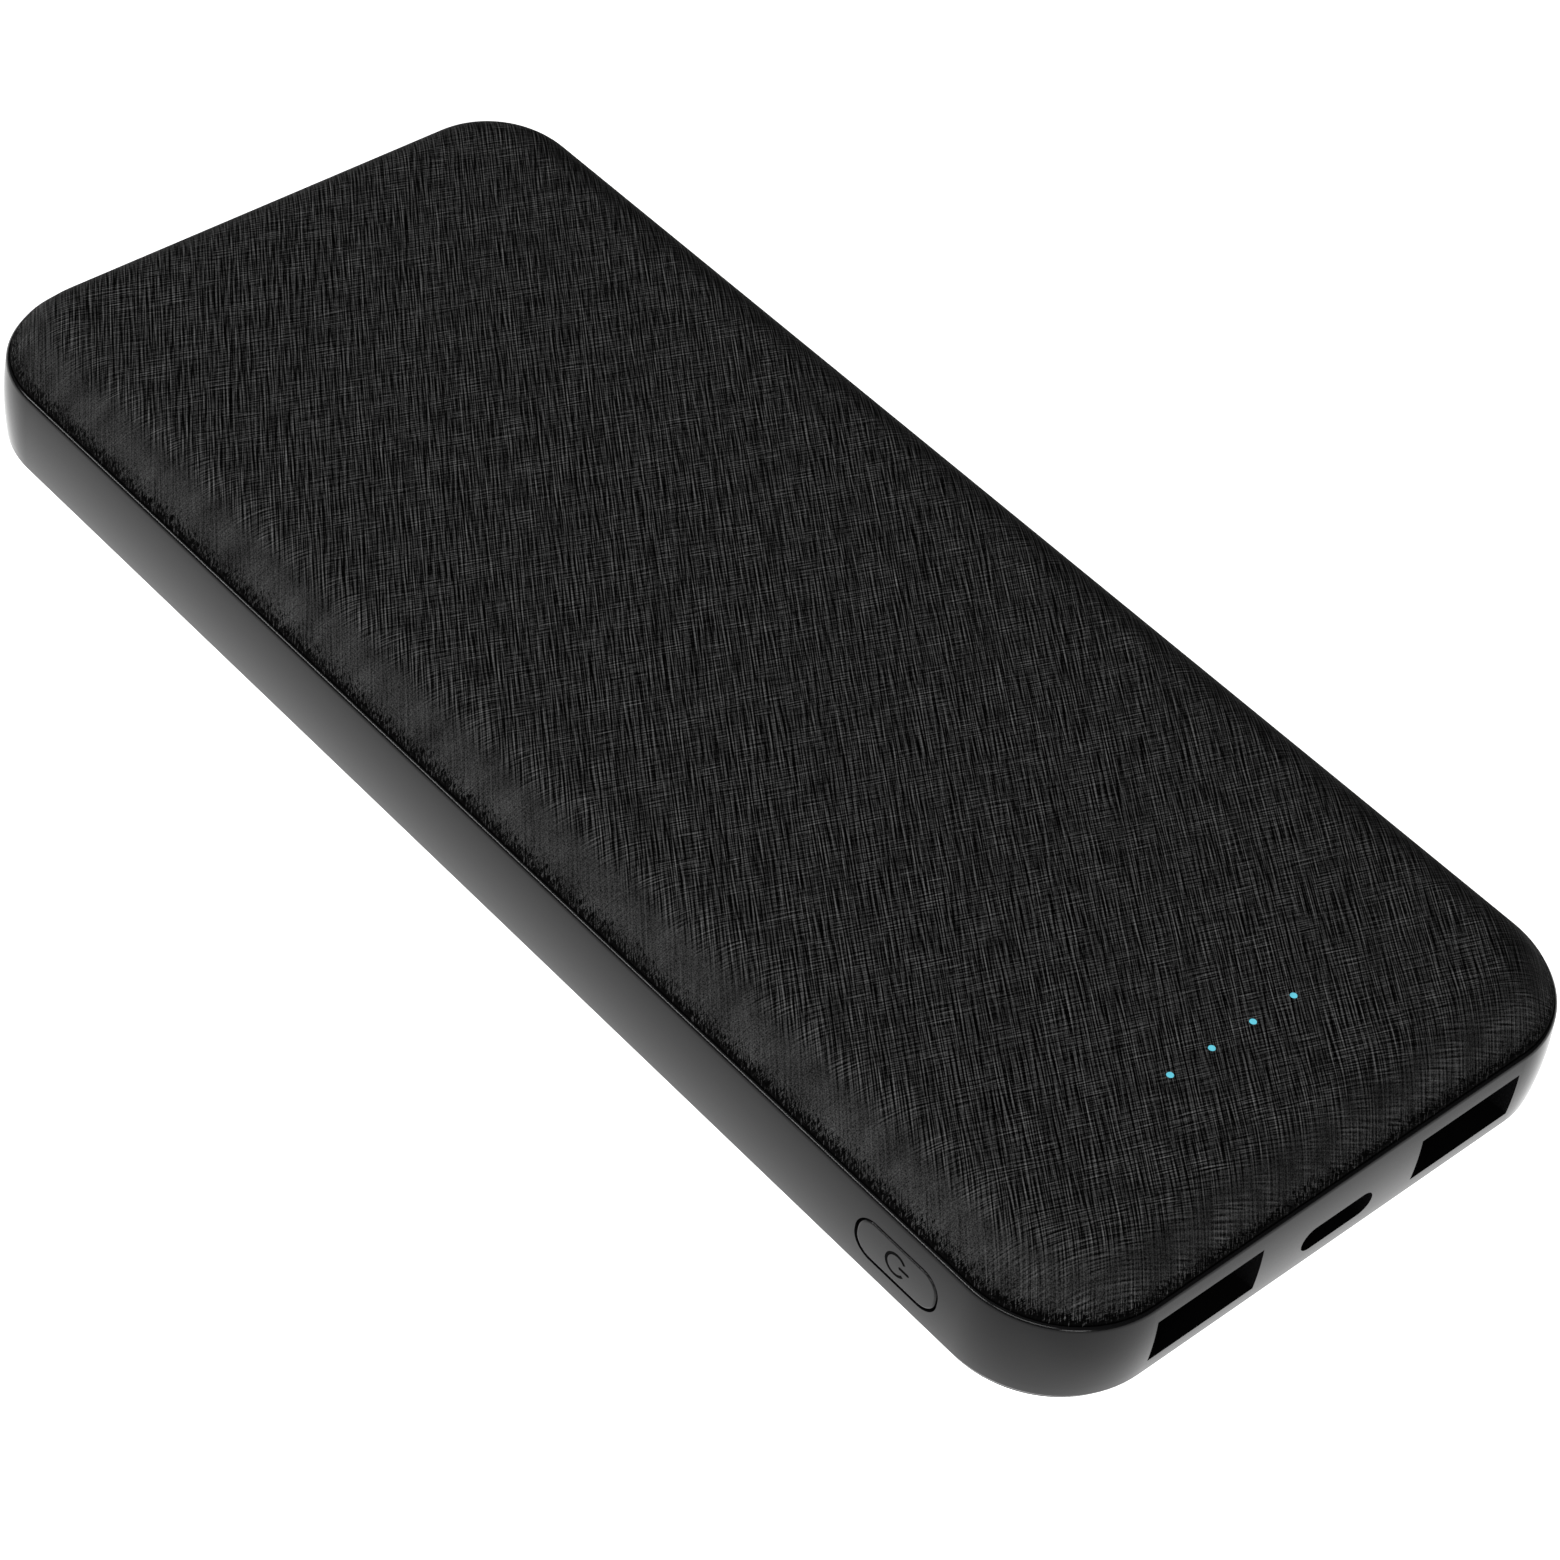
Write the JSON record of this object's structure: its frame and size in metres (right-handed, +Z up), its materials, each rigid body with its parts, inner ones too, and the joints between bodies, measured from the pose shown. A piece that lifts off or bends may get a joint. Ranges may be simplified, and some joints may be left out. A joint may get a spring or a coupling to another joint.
{
  "type": "power bank",
  "caption": "Slim rectangular power bank with textured crowned shells, a smooth side frame, a side button, USB sockets in one end and pin-hole charge lights.",
  "frame": {"origin": "centre of the flat underside, on the surface the power bank rests on", "axes": "+Z up, +Y along the length towards the closed end, so the sockets are in the -Y end and the button is in the -X side"},
  "size_m": [0.0686, 0.154, 0.0181],
  "materials": {
    "frame_plastic": "satin, fine moulded grain",
    "textured_shell": "fine linen-like woven texture",
    "button_plastic": "satin",
    "mark_ink": "matt ink in a shallow cut",
    "socket_steel": "black-coated sheet",
    "socket_moulding": "moulded",
    "contact_gold": "gold flash",
    "light_chip": "clear epoxy over phosphor",
    "light_guide": "clear, lit blue-green at the tips",
    "foam": "closed-cell foam",
    "board_laminate": "solder mask over glass laminate",
    "tinned_steel": "tinned or nickel sheet",
    "switch_plunger": "moulded",
    "chip_epoxy": "moulded epoxy",
    "ferrite": "pressed ferrite",
    "can_aluminium": "sleeved can",
    "ceramic": "fired ceramic",
    "screw_steel": "zinc plated",
    "cell_foil": "laminate foil",
    "amber_tape": "heat-proof film"
  },
  "bodies": {
    "casing": {"battery_switches": "chip_epoxy", "board_screws": "screw_steel", "bottom_shell": "textured_shell", "cell_bond_pad": "foam", "ceramic_capacitors": "ceramic", "chip_resistors": "chip_epoxy", "light_guide": "light_guide", "light_shield": "foam", "lower_cell": "cell_foil", "lower_foam_pads": "foam", "main_board": "board_laminate", "middle_frame": "frame_plastic", "negative_tabs": "tinned_steel", "output_capacitors": "can_aluminium", "port_controllers": "chip_epoxy", "positive_tabs": "tinned_steel", "power_controller": "chip_epoxy", "power_inductor": "ferrite", "status_lights": "light_chip", "switch_body": "chip_epoxy", "switch_bracket": "tinned_steel", "tab_tape": "amber_tape", "top_shell": "textured_shell", "upper_cell": "cell_foil", "upper_foam_pads": "foam", "usb_a_left_contacts": "contact_gold", "usb_a_left_insert": "socket_moulding", "usb_a_left_shell": "socket_steel", "usb_a_right_contacts": "contact_gold", "usb_a_right_insert": "socket_moulding", "usb_a_right_shell": "socket_steel", "usb_c_contacts": "contact_gold", "usb_c_shell": "socket_steel", "usb_c_tongue": "socket_moulding"},
    "button": {"power_button": "button_plastic", "button_mark": "mark_ink"},
    "plunger": {"switch_plunger": "switch_plunger"}
  },
  "joints": [
    {"name": "button_press", "type": "slide", "parent": "casing", "child": "button", "axis": [1, 0, 0], "range_m": [0, 0.0003], "stiffness_N_per_m": 5000},
    {"name": "plunger_press", "type": "slide", "parent": "casing", "child": "plunger", "axis": [1, 0, 0], "range_m": [0, 0.0003]}
  ],
  "couplings": [
    {"joint": "plunger_press", "follows": "button_press", "ratio": 1}
  ]
}
